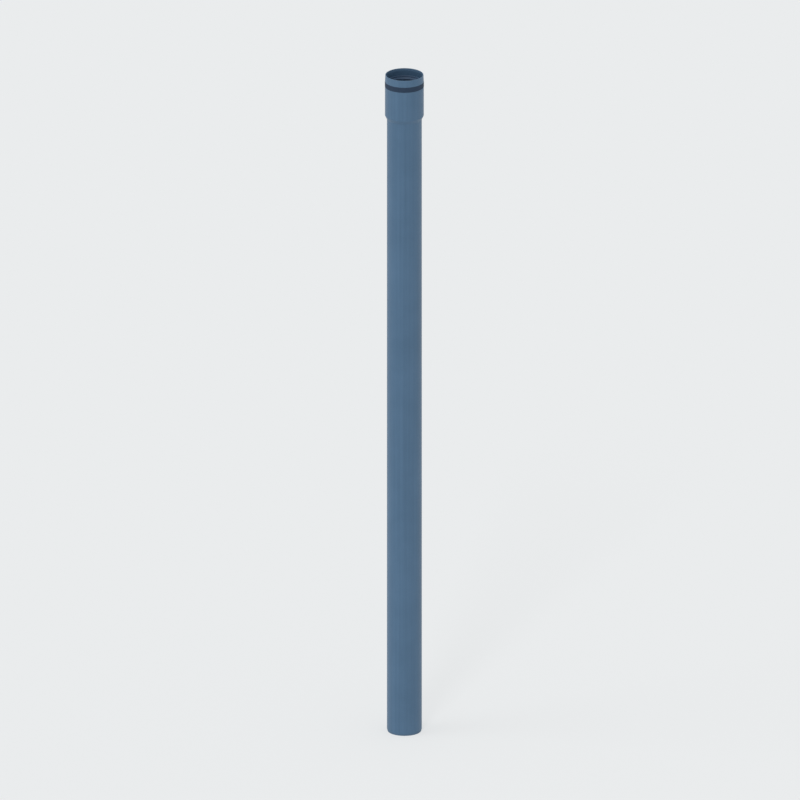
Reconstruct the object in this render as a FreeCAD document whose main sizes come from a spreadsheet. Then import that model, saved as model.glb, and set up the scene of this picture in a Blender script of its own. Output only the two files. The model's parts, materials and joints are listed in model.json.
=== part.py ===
"""Push-fit plastic sewer pipe, 50 mm across and 1 m long, with its rubber sealing ring.

The pipe stands on its spigot end. Its axis is Z, the origin is the centre of the spigot's end
face, and the socket that takes the next pipe is at the top. All sizes are in millimetres.
"""

import FreeCAD, Part
import os
import Sketcher

# alias, value, what it is
DIMENSIONS = [
    ("pipe_diameter", 50.0, "outside diameter of the barrel and the spigot"),
    ("wall", 2.0, "wall of the barrel"),
    ("overall_length", 1000.0, "spigot end to socket mouth"),
    ("chamfer_depth", 0.9, "radial depth of the bevel on the spigot"),
    ("chamfer_angle", 15.0, "bevel's angle to the axis, in degrees"),
    ("socket_clearance", 0.4, "radial play of a spigot in the socket"),
    ("socket_wall", 2.45, "wall of the socket"),
    ("socket_length", 61.5, "mouth to the top corner of the shoulder, on the outside"),
    ("shoulder_length", 5.7, "height of the cone that joins socket and barrel"),
    ("shoulder_round", 3.0, "rounding of the shoulder's two outer corners"),
    ("stop_round", 1.5, "rounding of the shoulder's two inner corners"),
    ("mouth_taper", 0.5, "how much smaller the mouth's radius is than the socket's"),
    ("mouth_land", 1.0, "width of the flat ring round the mouth"),
    ("mouth_round", 0.3, "rounding of the mouth's outer edge"),
    ("lead_in", 3.0, "height of the funnel that guides a spigot in"),
    ("seal_setback", 10.2, "mouth to the top of the sealing ring"),
    ("seal_width", 7.5, "height of the sealing ring"),
    ("band_thickness", 0.9, "depth of the groove that holds the ring's outer band"),
    ("band_proud", 0.15, "how far the band stands out of its groove"),
    ("band_round", 0.3, "rounding of the band's two outer edges"),
    ("web_thickness", 0.7, "socket wall left between the outer and the inner groove"),
    ("window_margin", 1.5, "web left above and below each window"),
    ("window_count", 12, "windows that the rubber passes through"),
    ("window_angle", 18.0, "width of a window, in degrees round the axis"),
    ("lip_clearance", 0.2, "gap that the folded lip leaves round a spigot"),
    ("lip_land", 1.6, "height of the lip's cylindrical face"),
    ("lip_height", 1.0, "bottom of the ring to the lip's cylindrical face"),
]

# Radii and heights that several profile points share, as expressions of the sheet's cells.
BORE = "dims.pipe_diameter / 2 - dims.wall"
BARREL = "dims.pipe_diameter / 2"
BEVEL = "dims.pipe_diameter / 2 - dims.chamfer_depth"
SOCKET_BORE = "dims.pipe_diameter / 2 + dims.socket_clearance"
SOCKET = f"{SOCKET_BORE} + dims.socket_wall"
MOUTH = f"{SOCKET} - dims.mouth_taper"
MOUTH_INNER = f"{MOUTH} - dims.mouth_land"
WEB_OUTER = f"{SOCKET} - dims.band_thickness"
WEB_INNER = f"{WEB_OUTER} - dims.web_thickness"
BAND = f"{SOCKET} + dims.band_proud"
LIP = "dims.pipe_diameter / 2 + dims.lip_clearance"

FOOT = "0"
BEVEL_TOP = "dims.chamfer_depth / tan(dims.chamfer_angle)"
TOP = "dims.overall_length"
SHOULDER_TOP = "dims.overall_length - dims.socket_length"
SHOULDER_FOOT = f"{SHOULDER_TOP} - dims.shoulder_length"
# Inside, the wall's two bends sit higher, by the wall times the tangent of half the bend's angle.
HALF_BEND = f"tan(atan(({SOCKET} - {BARREL}) / dims.shoulder_length) / 2)"
STOP_TOP = f"{SHOULDER_TOP} + dims.socket_wall * {HALF_BEND}"
STOP_FOOT = f"{SHOULDER_FOOT} + dims.wall * {HALF_BEND}"
LEAD_FOOT = "dims.overall_length - dims.lead_in"
SEAL_TOP = "dims.overall_length - dims.seal_setback"
SEAL_FOOT = f"{SEAL_TOP} - dims.seal_width"
WINDOW_TOP = f"{SEAL_TOP} - dims.window_margin"
WINDOW_FOOT = f"{SEAL_FOOT} + dims.window_margin"
LIP_FOOT = f"{SEAL_FOOT} + dims.lip_height"
LIP_TOP = f"{LIP_FOOT} + dims.lip_land"

TOUCH = 1e-4  # how near a found edge lies to where it should be


def make_sheet(doc):
    """The driving dimensions, one row each: value, and its meaning beside it."""
    sheet = doc.addObject("Spreadsheet::Sheet", "dims")
    for row, (alias, value, meaning) in enumerate(DIMENSIONS, start=1):
        sheet.set(f"A{row}", str(value))
        sheet.setAlias(f"A{row}", alias)
        sheet.set(f"B{row}", meaning)
    doc.recompute()
    return sheet


def make_body(doc, label):
    body = doc.addObject("PartDesign::Body", label)
    body.Label = label
    return body


def section_sketch(sheet, body, name, corners):
    """A closed section in the XZ plane, one corner after another as (radius, height) expressions.

    A side between two corners of one radius is vertical and one between two of one height is
    horizontal, so each size is bound to the sheet only once.
    """
    plane = next(f for f in body.Origin.OriginFeatures if f.Role == "XZ_Plane")
    sketch = body.newObject("Sketcher::SketchObject", name)
    sketch.AttachmentSupport = (plane, [""])
    sketch.MapMode = "FlatFace"
    places = [
        FreeCAD.Vector(sheet.evalExpression(radius), sheet.evalExpression(height), 0)
        for radius, height in corners
    ]
    count = len(corners)
    for i in range(count):
        sketch.addGeometry(Part.LineSegment(places[i], places[(i + 1) % count]), False)
    for i in range(count):
        sketch.addConstraint(Sketcher.Constraint("Coincident", i, 2, (i + 1) % count, 1))
    for i, (radius, height) in enumerate(corners):
        last_radius, last_height = corners[i - 1]
        before = (i - 1) % count
        if i > 0 and radius == last_radius:
            sketch.addConstraint(Sketcher.Constraint("Vertical", before))
        else:
            bind(sketch, "DistanceX", i, places[i].x, radius)
        if i > 0 and height == last_height:
            sketch.addConstraint(Sketcher.Constraint("Horizontal", before))
        else:
            bind(sketch, "DistanceY", i, places[i].y, height)
    return sketch


def bind(sketch, kind, side, value, expression):
    """Holds the first end of a side at a distance from the origin that follows the sheet."""
    origin = (-1, 1)
    if value == 0:
        sketch.addConstraint(Sketcher.Constraint("PointOnObject", side, 1, -1))
        return
    index = sketch.addConstraint(Sketcher.Constraint(kind, *origin, side, 1, value))
    sketch.setExpression(f"Constraints[{index}]", expression)


def turn(body, sketch, name, feature="PartDesign::Revolution", angle="360"):
    """Turns a section about the Z axis, as added or as removed material."""
    turned = body.newObject(feature, name)
    turned.Profile = sketch
    turned.ReferenceAxis = (sketch, ["V_Axis"])
    turned.setExpression("Angle", angle)
    sketch.Visibility = False
    return turned


def repeat_round(body, feature, name):
    """Copies a feature round the Z axis, once for each window."""
    axis = next(f for f in body.Origin.OriginFeatures if f.Role == "Z_Axis")
    pattern = body.newObject("PartDesign::PolarPattern", name)
    pattern.Originals = [feature]
    pattern.Axis = (axis, [""])
    pattern.Angle = 360
    pattern.setExpression("Occurrences", "dims.window_count")
    body.Tip = pattern
    return pattern


def circle_edges(shape, rings):
    """Names of the full circles of a shape that have these (radius, height) pairs."""
    names = []
    for number, edge in enumerate(shape.Edges, start=1):
        if not isinstance(edge.Curve, Part.Circle):
            continue
        for radius, height in rings:
            if abs(edge.Curve.Radius - radius) < TOUCH and abs(edge.Curve.Center.z - height) < TOUCH:
                names.append(f"Edge{number}")
    return names


def round_edges(doc, sheet, body, name, size, rings):
    """Rounds the circles that lie at these (radius, height) expressions."""
    doc.recompute()
    base = body.Tip
    places = [(sheet.evalExpression(radius), sheet.evalExpression(height)) for radius, height in rings]
    edges = circle_edges(base.Shape, places)
    if len(edges) < len(rings):
        raise RuntimeError(f"{name}: found {len(edges)} of {len(rings)} edges")
    fillet = body.newObject("PartDesign::Fillet", name)
    fillet.Base = (base, edges)
    fillet.setExpression("Radius", size)
    return fillet


def make_pipe(doc, sheet):
    """Barrel, bevelled spigot, shoulder and socket: one piece of extruded pipe, belled at the top."""
    pipe = make_body(doc, "pipe")
    corners = [
        (BORE, FOOT),
        (BEVEL, FOOT),
        (BARREL, BEVEL_TOP),
        (BARREL, SHOULDER_FOOT),
        (SOCKET, SHOULDER_TOP),
        (SOCKET, SEAL_FOOT),
        (WEB_OUTER, SEAL_FOOT),
        (WEB_OUTER, SEAL_TOP),
        (SOCKET, SEAL_TOP),
        (MOUTH, TOP),
        (MOUTH_INNER, TOP),
        (SOCKET_BORE, LEAD_FOOT),
        (SOCKET_BORE, SEAL_TOP),
        (WEB_INNER, SEAL_TOP),
        (WEB_INNER, SEAL_FOOT),
        (SOCKET_BORE, SEAL_FOOT),
        (SOCKET_BORE, STOP_TOP),
        (BORE, STOP_FOOT),
    ]
    turn(pipe, section_sketch(sheet, pipe, "pipe_section", corners), "pipe_wall")
    round_edges(
        doc, sheet, pipe, "outer_shoulder_round", "dims.shoulder_round",
        [(BARREL, SHOULDER_FOOT), (SOCKET, SHOULDER_TOP)],
    )
    round_edges(
        doc, sheet, pipe, "inner_shoulder_round", "dims.stop_round",
        [(BORE, STOP_FOOT), (SOCKET_BORE, STOP_TOP)],
    )
    round_edges(doc, sheet, pipe, "mouth_edge_round", "dims.mouth_round", [(MOUTH, TOP)])

    # The rubber is moulded through a row of windows in the web between the two grooves.
    window = [
        (WEB_INNER, WINDOW_FOOT),
        (WEB_OUTER, WINDOW_FOOT),
        (WEB_OUTER, WINDOW_TOP),
        (WEB_INNER, WINDOW_TOP),
    ]
    window_sketch = section_sketch(sheet, pipe, "window_section", window)
    cut = turn(pipe, window_sketch, "window", "PartDesign::Groove", "dims.window_angle")
    repeat_round(pipe, cut, "windows")
    return pipe


def make_seal_ring(doc, sheet):
    """Rubber ring: an outer band, an inner ring with the sealing lip, and keys that join the two.

    The lip is drawn folded back, as it lies on a spigot.
    """
    ring = make_body(doc, "seal_ring")
    corners = [
        (WEB_OUTER, SEAL_FOOT),
        (BAND, SEAL_FOOT),
        (BAND, SEAL_TOP),
        (WEB_OUTER, SEAL_TOP),
        (WEB_OUTER, WINDOW_TOP),
        (WEB_INNER, WINDOW_TOP),
        (WEB_INNER, SEAL_TOP),
        (SOCKET_BORE, SEAL_TOP),
        (LIP, LIP_TOP),
        (LIP, LIP_FOOT),
        (SOCKET_BORE, SEAL_FOOT),
        (WEB_INNER, SEAL_FOOT),
        (WEB_INNER, WINDOW_FOOT),
        (WEB_OUTER, WINDOW_FOOT),
    ]
    turn(ring, section_sketch(sheet, ring, "ring_section", corners), "ring_solid")
    round_edges(
        doc, sheet, ring, "band_edge_round", "dims.band_round",
        [(BAND, SEAL_FOOT), (BAND, SEAL_TOP)],
    )

    # Between two windows the web's plastic stands where the ring's neck was.
    post = [
        (WEB_INNER, WINDOW_FOOT),
        (WEB_OUTER, WINDOW_FOOT),
        (WEB_OUTER, WINDOW_TOP),
        (WEB_INNER, WINDOW_TOP),
    ]
    post_sketch = section_sketch(sheet, ring, "post_section", post)
    post_angle = "360 / dims.window_count - dims.window_angle"
    cut = turn(ring, post_sketch, "post_gap", "PartDesign::Groove", post_angle)
    cut.Reversed = True
    repeat_round(ring, cut, "post_gaps")
    return ring


def check(doc, bodies):
    """Stops if any object failed to build or a piece isn't one sound solid."""
    for item in doc.Objects:
        if {"Invalid", "Error"} & set(item.State):
            raise RuntimeError(f"{item.Name} failed: {item.State}")
    for body in bodies:
        shape = body.Shape
        if shape.isNull() or not shape.isValid() or len(shape.Solids) != 1:
            raise RuntimeError(f"{body.Label} isn't one valid solid")


def main():
    doc = FreeCAD.newDocument("sewer_pipe")
    sheet = make_sheet(doc)
    bodies = [make_pipe(doc, sheet), make_seal_ring(doc, sheet)]
    doc.recompute()
    check(doc, bodies)
    os.makedirs("parts", exist_ok=True)
    for body in bodies:
        body.Shape.exportStep(f"parts/{body.Label}.step")
        box = body.Shape.BoundBox
        print(
            f"{body.Label}: {box.XLength:.2f} x {box.YLength:.2f} x {box.ZLength:.2f} mm,"
            f" {body.Shape.Volume / 1000:.2f} cm3"
        )


main()
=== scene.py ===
# %% [markdown]
# # A push-fit sewer pipe with its rubber ring
#
# The real thing is one length of extruded polypropylene pipe. Its lower end is sawn off and bevelled,
# so that it slides into the next pipe. Its upper end was belled over a former while hot, and carries a
# rubber ring that is moulded through a row of windows in the wall. From outside only the ring's dark
# band can be seen, so the windows and the ring's inner side are drawn as such rings usually have them.
# This lesson turns both pieces from their sections, gives them their plastics, and stands the pipe on a
# pale floor.

import json
from math import atan, ceil, cos, degrees, hypot, pi, radians, sin, tan

import bpy
import numpy as np
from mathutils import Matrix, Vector


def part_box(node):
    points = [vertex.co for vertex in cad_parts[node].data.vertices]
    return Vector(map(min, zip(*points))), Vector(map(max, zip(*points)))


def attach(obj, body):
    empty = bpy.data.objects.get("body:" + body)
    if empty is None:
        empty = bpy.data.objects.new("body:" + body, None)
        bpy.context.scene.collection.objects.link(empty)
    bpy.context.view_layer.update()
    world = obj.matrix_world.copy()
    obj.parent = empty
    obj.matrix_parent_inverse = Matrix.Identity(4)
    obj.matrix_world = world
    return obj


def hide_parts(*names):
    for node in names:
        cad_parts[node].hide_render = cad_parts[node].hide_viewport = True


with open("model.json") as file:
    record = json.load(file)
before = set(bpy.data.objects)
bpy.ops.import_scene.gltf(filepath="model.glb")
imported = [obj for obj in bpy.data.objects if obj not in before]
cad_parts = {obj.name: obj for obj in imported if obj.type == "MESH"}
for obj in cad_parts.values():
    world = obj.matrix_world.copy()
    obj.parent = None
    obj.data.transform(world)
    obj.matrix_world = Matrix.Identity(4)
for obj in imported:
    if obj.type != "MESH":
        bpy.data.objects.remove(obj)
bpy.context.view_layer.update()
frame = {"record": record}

# %% [markdown]
# ## Sizes
#
# Blender works in metres and a pipe maker in millimetres, so one small function stands between the
# two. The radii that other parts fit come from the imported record, and the heights of the ends and of
# the ring's seat come from the boxes of the CAD pieces. Only what the record doesn't say is given here.

# %% Sizes from the frame


def mm(size):
    """A size in millimetres, in metres."""
    return size / 1000


mounts = {mount["name"]: mount for mount in frame["record"]["mounts"]}
BORE = mm(mounts["waterway"]["dims"]["r_mm"])
BARREL = mm(mounts["spigot"]["dims"]["r_mm"])
SOCKET_BORE = mm(mounts["socket_bore"]["dims"]["r_mm"])
LEAD_FOOT = mounts["socket_bore"]["pos_m"][2]
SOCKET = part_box("pipe")[1].x
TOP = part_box("pipe")[1].z
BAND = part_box("seal_ring")[1].x
SEAL_FOOT, SEAL_TOP = (corner.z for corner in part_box("seal_ring"))
print(f"barrel {BARREL * 2000:.1f} mm across, {TOP * 1000:.0f} mm high, socket {SOCKET * 2000:.1f} mm across")

# %% Sizes of the pipe's own shape
BEVEL_DEPTH = mm(0.9)
BEVEL_TOP = BEVEL_DEPTH / tan(radians(15))
SHOULDER_TOP = TOP - mm(61.5)
SHOULDER_FOOT = SHOULDER_TOP - mm(5.7)
SHOULDER_BEND = atan((SOCKET - BARREL) / (SHOULDER_TOP - SHOULDER_FOOT))
STOP_TOP = SHOULDER_TOP + (SOCKET - SOCKET_BORE) * tan(SHOULDER_BEND / 2)
STOP_FOOT = SHOULDER_FOOT + (BARREL - BORE) * tan(SHOULDER_BEND / 2)
MOUTH = SOCKET - mm(0.5)
MOUTH_INNER = MOUTH - mm(1)
WEB_OUTER = SOCKET - mm(0.9)
WEB_INNER = WEB_OUTER - mm(0.7)
WINDOW_FOOT = SEAL_FOOT + mm(1.5)
WINDOW_TOP = SEAL_TOP - mm(1.5)
WINDOW_COUNT = 12
WINDOW_ANGLE = radians(18)

SPIN_STEPS = 240  # a step is 1.5 degrees, so windows and posts are both whole numbers of steps
ARC_STEP = radians(11)  # turn from one facet of a rounded corner to the next
TOUCH = mm(0.001)  # points nearer than this are one point
WELD = mm(0.0005)  # points nearer than this are merged once a section is turned
NEAR = mm(0.02)  # a face nearer than this to a radius lies on it
SMOOTH_BELOW = radians(30)  # faces that meet at less than this are shaded as one curve

# %% [markdown]
# ## Drawing a section
#
# A turned piece starts as its section: half of what a cut down the middle would show. It is drawn as
# with the extrude tool by hand. One point is placed, extruded to the next corner, and so on round.
# Corners are then rounded with the bevel tool set to vertices. The bevel asks how far along each side
# the arc starts. For a rounding of radius R where the line turns by an angle A, that is R tan(A/2).

# %% Helpers for drawing a section


def pick(piece, where, kind="VERT"):
    """Selects, in edit mode, only those vertices, edges or faces whose middle passes a test."""
    bpy.ops.object.mode_set(mode="EDIT")
    bpy.ops.mesh.select_mode(type=kind)
    bpy.ops.mesh.select_all(action="DESELECT")
    bpy.ops.object.mode_set(mode="OBJECT")
    mesh = piece.data
    points = np.empty(len(mesh.vertices) * 3)
    mesh.vertices.foreach_get("co", points)
    points = points.reshape(-1, 3)
    if kind == "VERT":
        chosen, elements = where(points), mesh.vertices
    elif kind == "EDGE":
        ends = np.empty(len(mesh.edges) * 2, int)
        mesh.edges.foreach_get("vertices", ends)
        ends = ends.reshape(-1, 2)
        chosen, elements = where(points[ends[:, 0]], points[ends[:, 1]]), mesh.edges
    else:
        middles = np.empty(len(mesh.polygons) * 3)
        mesh.polygons.foreach_get("center", middles)
        chosen, elements = where(middles.reshape(-1, 3)), mesh.polygons
    elements.foreach_set("select", chosen)
    bpy.ops.object.mode_set(mode="EDIT")
    return int(chosen.sum())


def at(radius, height):
    """A test for the section's point at a radius and height."""
    return lambda p: np.hypot(p[:, 0] - radius, p[:, 2] - height) < TOUCH


def turn_at(before, corner, after):
    """The angle by which a line turns at a corner."""
    first = Vector((corner[0] - before[0], corner[1] - before[1]))
    second = Vector((after[0] - corner[0], after[1] - corner[1]))
    return first.angle(second)


def draw_section(name, corners):
    """A closed section in the XZ plane. Each corner is its radius, its height and its rounding."""
    bpy.ops.object.select_all(action="DESELECT")
    bpy.ops.mesh.primitive_plane_add(size=mm(1), location=(0, 0, 0))
    piece = bpy.context.object
    piece.name = piece.data.name = name
    bpy.ops.object.mode_set(mode="EDIT")
    bpy.ops.mesh.select_mode(type="VERT")
    bpy.ops.mesh.select_all(action="SELECT")
    bpy.ops.mesh.merge(type="CENTER")
    bpy.ops.transform.translate(value=(corners[0][0], 0, corners[0][1]))
    for (r0, z0, _), (r1, z1, _) in zip(corners, corners[1:]):
        bpy.ops.mesh.extrude_region_move(TRANSFORM_OT_translate={"value": (r1 - r0, 0, z1 - z0)})
    first, last = at(*corners[0][:2]), at(*corners[-1][:2])
    pick(piece, lambda p: first(p) | last(p))
    bpy.ops.mesh.edge_face_add()
    for i, (radius, height, rounding) in enumerate(corners):
        if rounding:
            turn = turn_at(corners[i - 1], (radius, height), corners[(i + 1) % len(corners)])
            pick(piece, at(radius, height))
            bpy.ops.mesh.bevel(
                offset=rounding * tan(turn / 2),
                offset_type="OFFSET",
                segments=max(2, ceil(turn / ARC_STEP)),
                affect="VERTICES",
            )
    return piece


# %% [markdown]
# ## Turning it
#
# The spin tool sweeps the section once round the axis and welds its end to its start. A spun shape can
# come out inside out, so its normals are recalculated at the end. The windows of the rubber ring need
# one more step: two faces that look at each other through a wall are bridged. Across solid plastic the
# bridge is a hole, and across the gap between two rings of rubber it is a key that joins them.

# %% Helpers for turned pieces


def turn_section(piece):
    """Sweeps a section once round the Z axis."""
    bpy.ops.mesh.select_all(action="SELECT")
    bpy.ops.mesh.spin(
        steps=SPIN_STEPS, angle=radians(360), center=(0, 0, 0), axis=(0, 0, 1), use_auto_merge=True
    )
    bpy.ops.mesh.select_all(action="SELECT")
    bpy.ops.mesh.remove_doubles(threshold=WELD)
    bpy.ops.mesh.normals_make_consistent(inside=False)
    bpy.ops.object.mode_set(mode="OBJECT")


def bridge_windows(piece):
    """Bridges the two faces of the wall, or of the rubber, at each window under the ring."""
    for number in range(WINDOW_COUNT):
        start = number * 2 * pi / WINDOW_COUNT

        def in_window(p):
            angle = (np.arctan2(p[:, 1], p[:, 0]) - start) % (2 * pi)
            radius = np.hypot(p[:, 0], p[:, 1])
            wall = (abs(radius - WEB_OUTER) < NEAR) | (abs(radius - WEB_INNER) < NEAR)
            return wall & (angle < WINDOW_ANGLE) & (p[:, 2] > WINDOW_FOOT) & (p[:, 2] < WINDOW_TOP)

        pick(piece, in_window, "FACE")
        bpy.ops.mesh.bridge_edge_loops()
    bpy.ops.mesh.select_all(action="SELECT")
    bpy.ops.mesh.normals_make_consistent(inside=False)
    bpy.ops.object.mode_set(mode="OBJECT")


def finish_piece(piece, node):
    """Smooth shading that keeps flats flat, and the piece's place in the frame."""
    bpy.ops.object.select_all(action="DESELECT")
    piece.select_set(True)
    bpy.context.view_layer.objects.active = piece
    bpy.ops.object.shade_smooth_by_angle(angle=SMOOTH_BELOW)
    flats = piece.modifiers.new("flats", "WEIGHTED_NORMAL")
    flats.keep_sharp = True
    bpy.ops.object.modifier_apply(modifier=flats.name)
    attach(piece, "root")
    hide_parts(node)
    print(f"{piece.name}: {len(piece.data.vertices)} vertices, {len(piece.data.polygons)} faces")


# %% [markdown]
# ## The pipe
#
# The section runs up the outside, over the mouth and down the inside. The bevelled end has crisp edges,
# as a trimmer leaves them. The shoulder was formed hot, so it flows into the barrel and the socket with
# large roundings. The mouth's outer edge is eased, and a funnel inside it guides the next pipe in.
# Near the mouth the wall has two grooves back to back, and only a thin web is left between them.

# %% Pipe section
TRIMMED_EDGE = mm(0.15)
FORMED_BEND = mm(3)
STOP_BEND = mm(1.5)
GROOVE_EDGE = mm(0.25)
SEAT_EDGE = mm(0.2)
pipe = draw_section("pipe_body", [
    (BORE, 0, TRIMMED_EDGE),
    (BARREL - BEVEL_DEPTH, 0, TRIMMED_EDGE),
    (BARREL, BEVEL_TOP, mm(0.6)),
    (BARREL, SHOULDER_FOOT, FORMED_BEND),
    (SOCKET, SHOULDER_TOP, FORMED_BEND),
    (SOCKET, SEAL_FOOT, GROOVE_EDGE),
    (WEB_OUTER, SEAL_FOOT, 0),
    (WEB_OUTER, WINDOW_FOOT, 0),
    (WEB_OUTER, WINDOW_TOP, 0),
    (WEB_OUTER, SEAL_TOP, 0),
    (SOCKET, SEAL_TOP, GROOVE_EDGE),
    (MOUTH, TOP, mm(0.35)),
    (MOUTH_INNER, TOP, mm(0.2)),
    (SOCKET_BORE, LEAD_FOOT, mm(1)),
    (SOCKET_BORE, SEAL_TOP, SEAT_EDGE),
    (WEB_INNER, SEAL_TOP, 0),
    (WEB_INNER, WINDOW_TOP, 0),
    (WEB_INNER, WINDOW_FOOT, 0),
    (WEB_INNER, SEAL_FOOT, 0),
    (SOCKET_BORE, SEAL_FOOT, SEAT_EDGE),
    (SOCKET_BORE, STOP_TOP, STOP_BEND),
    (BORE, STOP_FOOT, STOP_BEND),
])

# %% [markdown]
# The barrel's two long sides are cut into shorter stretches before the section is turned. Faces a metre
# long and half a millimetre wide shade and unwrap badly, and shorter ones cost little.

# %% Divide the long sides and turn
BARREL_CUTS = 40
found = pick(pipe, lambda a, b: abs(a[:, 2] - b[:, 2]) > mm(500), "EDGE")
bpy.ops.mesh.subdivide(number_cuts=BARREL_CUTS)
print("long sides divided:", found)
turn_section(pipe)
bridge_windows(pipe)
finish_piece(pipe, "pipe")

# %% [markdown]
# ## The rubber ring
#
# Outside, the ring shows as a flat dark band that fills its groove and stands a hair proud. Inside, it
# carries a narrow wiper lip and, below it, the long thin sealing lip that leans down into the socket.
# Nothing is plugged in here, so both lips stand relaxed, further in than the CAD ring's folded one.
# The two are turned apart, joined as one object, and keyed through the windows.

# %% Outer band
EASE = mm(0.3)
band = draw_section("seal_band", [
    (WEB_OUTER, SEAL_FOOT, 0),
    (BAND, SEAL_FOOT, EASE),
    (BAND, SEAL_TOP, EASE),
    (WEB_OUTER, SEAL_TOP, 0),
    (WEB_OUTER, WINDOW_TOP, 0),
    (WEB_OUTER, WINDOW_FOOT, 0),
])
turn_section(band)

# %% Inner ring with its lips
LIP_TIP = BARREL - mm(0.9)
WIPER_TIP = BARREL - mm(0.1)
inner = draw_section("seal_inner", [
    (WEB_INNER, SEAL_FOOT, 0),
    (WEB_INNER, WINDOW_FOOT, 0),
    (WEB_INNER, WINDOW_TOP, 0),
    (WEB_INNER, SEAL_TOP, 0),
    (SOCKET_BORE, SEAL_TOP, SEAT_EDGE),
    (WIPER_TIP, SEAL_TOP - mm(1.3), mm(0.25)),
    (WIPER_TIP + mm(0.1), SEAL_TOP - mm(1.8), mm(0.15)),
    (SOCKET_BORE + mm(0.1), SEAL_TOP - mm(1.6), mm(0.15)),
    (SOCKET_BORE + mm(0.1), SEAL_TOP - mm(2.6), mm(0.5)),
    (LIP_TIP, SEAL_TOP - mm(5.4), mm(0.25)),
    (LIP_TIP + mm(0.2), SEAL_TOP - mm(6), mm(0.25)),
    (SOCKET_BORE + mm(0.15), SEAL_TOP - mm(4.2), mm(0.3)),
    (SOCKET_BORE + mm(0.1), SEAL_FOOT + mm(1), mm(0.3)),
    (SOCKET_BORE - mm(0.1), SEAL_FOOT + mm(0.5), mm(0.2)),
    (SOCKET_BORE, SEAL_FOOT, mm(0.1)),
])
turn_section(inner)

# %% Join and key the two
bpy.ops.object.select_all(action="DESELECT")
inner.select_set(True)
band.select_set(True)
bpy.context.view_layer.objects.active = band
bpy.ops.object.join()
band.name = band.data.name = "seal_rubber_ring"
bridge_windows(band)
finish_piece(band, "seal_ring")

# %% [markdown]
# ## Building materials from nodes
#
# Colours are written as web colours, which are sRGB, and Blender's shaders want linear light, so one
# function converts them. Another adds a node with its settings and whatever feeds its inputs.

# %% Helpers for materials


def srgb(code):
    """A #rrggbb colour as Blender's linear red, green, blue and alpha."""
    parts = [int(code[i:i + 2], 16) / 255 for i in (1, 3, 5)]
    return [c / 12.92 if c <= 0.04045 else ((c + 0.055) / 1.055) ** 2.4 for c in parts] + [1]


def per(size):
    """The noise scale whose features are about this many millimetres wide."""
    return 1 / mm(size)


def add(tree, kind, inputs=(), **settings):
    """Adds a node. Each input is a value, or another node's output."""
    node = tree.nodes.new(kind)
    for name, value in settings.items():
        setattr(node, name, value)
    for name, value in dict(inputs).items():
        if isinstance(value, bpy.types.NodeSocket):
            tree.links.new(value, node.inputs[name])
        else:
            node.inputs[name].default_value = value
    return node


def new_material(name):
    """An empty material, its node tree and its surface shader."""
    material = bpy.data.materials.new(name)
    material.use_nodes = True
    tree = material.node_tree
    tree.nodes.clear()
    shader = add(tree, "ShaderNodeBsdfPrincipled")
    output = add(tree, "ShaderNodeOutputMaterial")
    tree.links.new(shader.outputs["BSDF"], output.inputs["Surface"])
    return material, tree, shader


# %% [markdown]
# ## Extruded polypropylene
#
# Polypropylene is a waxy, slightly soft-looking plastic with a satin skin. It is pushed hot through a
# ring-shaped die, and tiny nicks in the die draw faint lines along the whole pipe. The lines are a
# noise that is squeezed round the pipe and stretched along it. Real ones are under half a millimetre
# wide, too fine to show on a metre of pipe, so wider streaks carry them at this distance. A slow
# cloudiness stands for pigment that is never mixed quite evenly.

# %% Extruded skin
PIPE_COLOUR = "#40607c"
PIPE_LIGHT = "#4a6a87"
LINE_STRETCH = 0.01  # the lines are a hundred times as long as they are wide
POLYPROPYLENE_IOR = 1.49


def extruded_polypropylene():
    material, tree, shader = new_material("polypropylene_extruded")
    place = add(tree, "ShaderNodeTexCoord").outputs["Object"]
    drawn = add(tree, "ShaderNodeMapping", {
        "Vector": place,
        "Scale": (1, 1, LINE_STRETCH),
    }).outputs["Vector"]
    streaks = add(tree, "ShaderNodeTexNoise", {"Vector": drawn, "Scale": per(3), "Detail": 4.0})
    lines = add(tree, "ShaderNodeTexNoise", {"Vector": drawn, "Scale": per(0.5), "Detail": 2.0})
    clouds = add(tree, "ShaderNodeTexNoise", {"Vector": place, "Scale": per(45), "Detail": 3.0})
    mottle = add(tree, "ShaderNodeMath", {
        0: streaks.outputs["Fac"],
        1: clouds.outputs["Fac"],
    }, operation="ADD")
    spread = add(tree, "ShaderNodeMapRange", {
        "Value": mottle.outputs["Value"],
        "From Min": 0.65,
        "From Max": 1.35,
    })
    tint = add(tree, "ShaderNodeMix", {
        "Factor": spread.outputs["Result"],
        "A": srgb(PIPE_COLOUR),
        "B": srgb(PIPE_LIGHT),
    }, data_type="RGBA")
    sheen = add(tree, "ShaderNodeMapRange", {
        "Value": streaks.outputs["Fac"],
        "To Min": 0.4,
        "To Max": 0.52,
    })
    relief = add(tree, "ShaderNodeBump", {
        "Height": lines.outputs["Fac"],
        "Strength": 0.5,
        "Distance": mm(0.05),
    })
    tree.links.new(tint.outputs["Result"], shader.inputs["Base Color"])
    tree.links.new(sheen.outputs["Result"], shader.inputs["Roughness"])
    tree.links.new(relief.outputs["Normal"], shader.inputs["Normal"])
    shader.inputs["IOR"].default_value = POLYPROPYLENE_IOR
    return material


# %% [markdown]
# ## The inner skin
#
# With the outer finish inside as well, the wall behind the mouth comes out too light under this sky.
# The darker colour inside is painted shade on that wall.
# The inside therefore has a darker, duller finish of its own. Whether the real skin differs there, or
# only the light does, isn't known, so this finish is a match and not a fact about the plastic.
# Faint lines run along it, as outside, and soft patches keep it from looking flat.

# %% Inner skin
# Painted shade: both inner colours are darker than the outside, for shade deeper than this sky gives.
BORE_PAINTED_SHADE = "#36506a"
BORE_PAINTED_SHADE_PATCH = "#3c5871"
INNER_LINE_STRETCH = 0.02
FILM_SPECULAR = 0.3  # under the usual 0.5, for a surface without a clear highlight


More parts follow.
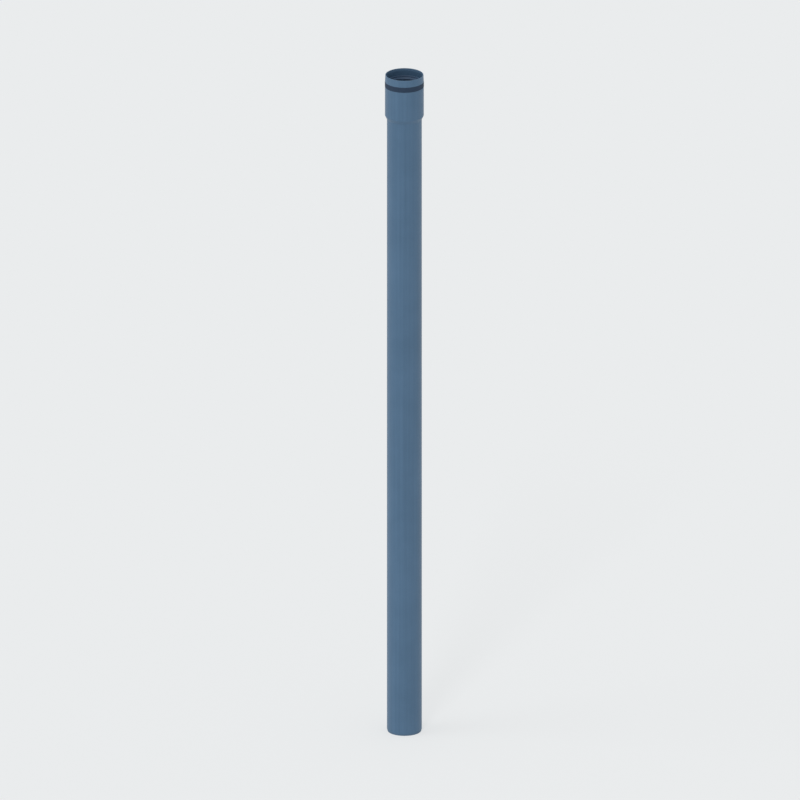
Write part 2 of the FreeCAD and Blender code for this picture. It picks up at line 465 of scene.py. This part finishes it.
def inner_polypropylene_painted_shade():
    material, tree, shader = new_material("polypropylene_inner_painted_shade")
    place = add(tree, "ShaderNodeTexCoord").outputs["Object"]
    drawn = add(tree, "ShaderNodeMapping", {
        "Vector": place,
        "Scale": (1, 1, INNER_LINE_STRETCH),
    }).outputs["Vector"]
    lines = add(tree, "ShaderNodeTexNoise", {"Vector": drawn, "Scale": per(1.2), "Detail": 3.0})
    film = add(tree, "ShaderNodeTexNoise", {"Vector": place, "Scale": per(14), "Detail": 4.0})
    # This darker inner tint is painted shade.
    tint = add(tree, "ShaderNodeMix", {
        "Factor": film.outputs["Fac"],
        "A": srgb(BORE_PAINTED_SHADE),
        "B": srgb(BORE_PAINTED_SHADE_PATCH),
    }, data_type="RGBA")
    dullness = add(tree, "ShaderNodeMapRange", {
        "Value": film.outputs["Fac"],
        "To Min": 0.6,
        "To Max": 0.72,
    })
    relief = add(tree, "ShaderNodeBump", {
        "Height": lines.outputs["Fac"],
        "Strength": 0.3,
        "Distance": mm(0.04),
    })
    tree.links.new(tint.outputs["Result"], shader.inputs["Base Color"])
    tree.links.new(dullness.outputs["Result"], shader.inputs["Roughness"])
    tree.links.new(relief.outputs["Normal"], shader.inputs["Normal"])
    shader.inputs["IOR"].default_value = POLYPROPYLENE_IOR
    shader.inputs["Specular IOR Level"].default_value = FILM_SPECULAR
    return material


# %% [markdown]
# ## Sawn and bevelled polypropylene
#
# The lower end is parted off by a turning saw, and a cutter trims the bevel. Cutting takes the satin
# skin away and leaves rings round the end, a fraction of a millimetre apart, with a duller surface.

# %% Cut end
CUT_COLOUR = "#4b6983"


def cut_polypropylene():
    material, tree, shader = new_material("polypropylene_cut")
    place = add(tree, "ShaderNodeTexCoord").outputs["Object"]
    rings = add(tree, "ShaderNodeTexWave", {
        "Vector": place,
        "Scale": per(0.4) / 20,
        "Distortion": 0.6,
        "Detail": 2.0,
    }, wave_type="BANDS", bands_direction="Z")
    burr = add(tree, "ShaderNodeTexNoise", {"Vector": place, "Scale": per(0.6), "Detail": 3.0})
    relief = add(tree, "ShaderNodeBump", {
        "Height": rings.outputs["Fac"],
        "Strength": 0.5,
        "Distance": mm(0.05),
    })
    dullness = add(tree, "ShaderNodeMapRange", {
        "Value": burr.outputs["Fac"],
        "To Min": 0.5,
        "To Max": 0.68,
    })
    tree.links.new(relief.outputs["Normal"], shader.inputs["Normal"])
    tree.links.new(dullness.outputs["Result"], shader.inputs["Roughness"])
    shader.inputs["Base Color"].default_value = srgb(CUT_COLOUR)
    shader.inputs["IOR"].default_value = POLYPROPYLENE_IOR
    return material


# %% [markdown]
# ## Moulded elastomer
#
# The ring is a soft rubber, injected into a spark-eroded mould. The mould prints a fine even grain on
# it, so it looks matt, with a soft broad highlight and no clear reflection. It is darker than the pipe.
# The same rubber comes out too dark on the inner side, deep in the socket, where shade falls. It is drawn
# a little paler there, which is painted light, and smoother, as a film of assembly grease might leave
# it, which is a guess as well.

# %% Rubber
RUBBER_COLOUR = "#1f3248"
RUBBER_BLOOM = "#273a50"
# Painted light: the inner side's two colours are paler than the rubber, to lift the shade deep in the socket.
RUBBER_PAINTED_LIGHT = "#354c66"
RUBBER_PAINTED_LIGHT_BLOOM = "#3f5772"
ELASTOMER_IOR = 1.52
GRAIN_SPREAD = 0.16  # from the roughness of the grain's peaks to that of its hollows


def moulded_elastomer(name, colour, pale, dullest):
    material, tree, shader = new_material(name)
    place = add(tree, "ShaderNodeTexCoord").outputs["Object"]
    grain = add(tree, "ShaderNodeTexNoise", {"Vector": place, "Scale": per(0.25), "Detail": 2.0})
    bloom = add(tree, "ShaderNodeTexNoise", {"Vector": place, "Scale": per(12), "Detail": 4.0})
    tint = add(tree, "ShaderNodeMix", {
        "Factor": bloom.outputs["Fac"],
        "A": srgb(colour),
        "B": srgb(pale),
    }, data_type="RGBA")
    dullness = add(tree, "ShaderNodeMapRange", {
        "Value": grain.outputs["Fac"],
        "To Min": dullest - GRAIN_SPREAD,
        "To Max": dullest,
    })
    relief = add(tree, "ShaderNodeBump", {
        "Height": grain.outputs["Fac"],
        "Strength": 0.6,
        "Distance": mm(0.04),
    })
    tree.links.new(tint.outputs["Result"], shader.inputs["Base Color"])
    tree.links.new(dullness.outputs["Result"], shader.inputs["Roughness"])
    tree.links.new(relief.outputs["Normal"], shader.inputs["Normal"])
    shader.inputs["IOR"].default_value = ELASTOMER_IOR
    shader.inputs["Specular IOR Level"].default_value = FILM_SPECULAR
    return material


# %% Put the materials on
OUTER, CUT, INNER = range(3)


def pipe_finish(face):
    """Which of the pipe's three finishes a face has."""
    radius, height = hypot(face.center.x, face.center.y), face.center.z
    if height < BEVEL_TOP and radius > BORE + NEAR:
        return CUT
    if SHOULDER_FOOT < height < SHOULDER_TOP:
        return INNER if face.normal.z > 0 else OUTER
    if height > LEAD_FOOT - mm(1):
        return INNER if radius < MOUTH_INNER - mm(0.05) else OUTER
    wall_middle = (BORE + BARREL) / 2 if height < SHOULDER_FOOT else (SOCKET_BORE + SOCKET) / 2
    return INNER if radius < wall_middle else OUTER


pipe.data.materials.append(extruded_polypropylene())
pipe.data.materials.append(cut_polypropylene())
pipe.data.materials.append(inner_polypropylene_painted_shade())
band.data.materials.append(moulded_elastomer("elastomer_moulded", RUBBER_COLOUR, RUBBER_BLOOM, 0.78))
# The second rubber is smoother, as greased, and its paler colour is painted light.
band.data.materials.append(moulded_elastomer("elastomer_greased_painted_light", RUBBER_PAINTED_LIGHT, RUBBER_PAINTED_LIGHT_BLOOM, 0.6))
counts = [0, 0, 0]
# Faces inside the pipe take the inner material, whose darker colour is painted shade.
for face in pipe.data.polygons:
    face.material_index = pipe_finish(face)
    counts[face.material_index] += 1
print("faces with the outer, cut and inner finish:", counts)
# The ring's inner faces take the second rubber, whose paler colour is painted light.
for face in band.data.polygons:
    face.material_index = int(hypot(face.center.x, face.center.y) < WEB_INNER + NEAR)

# %% [markdown]
# ## Floor, light and camera
#
# The floor is one large pale sheet, seen from so high up that it fills the picture. Two broad suns, one
# from the front and one from the left, are as wide as softboxes, so the thin pipe throws only a faint
# shadow that fans out. The sky gives the rest. What the camera and the reflections see of the sky is
# the background's own pale colour. They see the floor partly so too, which keeps the shadow faint.

# %% Rays that show a surface as it looks


def seen_directly(tree):
    """1 for what the camera sees, straight or in a reflection or through a surface, and 0 for light."""
    path = add(tree, "ShaderNodeLightPath").outputs
    straight = add(tree, "ShaderNodeMath", {
        0: path["Is Camera Ray"],
        1: path["Is Glossy Ray"],
    }, operation="MAXIMUM")
    either = add(tree, "ShaderNodeMath", {
        0: straight.outputs["Value"],
        1: path["Is Transmission Ray"],
    }, operation="MAXIMUM")
    return either.outputs["Value"]


# %% Floor
FLOOR_SIZE = 12.0
FLOOR_GLOW = 0.72
FLOOR_COLOUR = "#eaeced"
bpy.ops.object.select_all(action="DESELECT")
bpy.ops.mesh.primitive_plane_add(size=FLOOR_SIZE, location=(0, 0, 0))
floor = bpy.context.object
floor.name = "floor"
paper, paper_tree, paper_shader = new_material("studio_paper")
paper_shader.inputs["Base Color"].default_value = srgb(FLOOR_COLOUR)
paper_shader.inputs["Roughness"].default_value = 0.9
paper_shader.inputs["Specular IOR Level"].default_value = 0.0
glow = add(paper_tree, "ShaderNodeEmission", {"Color": srgb(FLOOR_COLOUR), "Strength": 1.0})
share = add(paper_tree, "ShaderNodeMath", {
    0: seen_directly(paper_tree),
    1: FLOOR_GLOW,
}, operation="MULTIPLY")
lit = add(paper_tree, "ShaderNodeMixShader", {
    "Fac": share.outputs["Value"],
    1: paper_shader.outputs["BSDF"],
    2: glow.outputs["Emission"],
})
paper_tree.links.new(lit.outputs["Shader"], paper_tree.nodes["Material Output"].inputs["Surface"])
floor.data.materials.append(paper)

# %% Sky
SKY_STRENGTH = 0.75
world = bpy.data.worlds.new("studio")
bpy.context.scene.world = world
world.use_nodes = True
sky = world.node_tree
sky.nodes.clear()
lamp = add(sky, "ShaderNodeBackground", {"Color": (1, 1, 1, 1), "Strength": SKY_STRENGTH})
backdrop = add(sky, "ShaderNodeBackground", {"Color": srgb(FLOOR_COLOUR), "Strength": 1.0})
mixed = add(sky, "ShaderNodeMixShader", {
    "Fac": seen_directly(sky),
    1: lamp.outputs["Background"],
    2: backdrop.outputs["Background"],
})
add(sky, "ShaderNodeOutputWorld", {"Surface": mixed.outputs["Shader"]})

# %% Suns


def sun(name, azimuth, elevation, strength, width):
    """A broad sun. Azimuth 0 shines from the camera's side, and 90 from its right, in degrees."""
    turn, height = radians(azimuth), radians(elevation)
    towards = Vector((sin(turn) * cos(height), -cos(turn) * cos(height), sin(height)))
    bpy.ops.object.light_add(type="SUN", location=towards * 3)
    lamp_object = bpy.context.object
    lamp_object.name = name
    lamp_object.rotation_euler = towards.to_track_quat("Z", "Y").to_euler()
    lamp_object.data.energy = strength
    lamp_object.data.angle = radians(width)
    print(f"{name}: from {azimuth} degrees round, {elevation} degrees up")


sun("front_softbox", -15, 42, 0.66, 11)
sun("left_softbox", -80, 35, 0.6, 35)

# %% [markdown]
# The camera looks down by 20 degrees with parallel rays, so the barrel is as wide at its foot as under
# the socket. Its aim is a few millimetres beside the axis and above the middle.

# %% Camera
LOOK_DOWN = radians(20)
VIEW_WIDTH = TOP * 1.1467
CAMERA_AWAY = 3 * TOP
AIM_ASIDE = -mm(6.3)
AIM_RISE = mm(3.6)
aim = Vector((AIM_ASIDE, 0, TOP / 2 + AIM_RISE))
bpy.ops.object.camera_add(
    location=aim + Vector((0, -cos(LOOK_DOWN), sin(LOOK_DOWN))) * CAMERA_AWAY,
    rotation=(pi / 2 - LOOK_DOWN, 0, 0),
)
camera = bpy.context.object
camera.data.type = "ORTHO"
camera.data.ortho_scale = VIEW_WIDTH
camera.data.clip_end = 20
bpy.context.scene.camera = camera
bpy.context.scene.view_settings.view_transform = "Standard"
print(f"camera: {degrees(LOOK_DOWN):.0f} degrees down, view {VIEW_WIDTH:.3f} m wide")
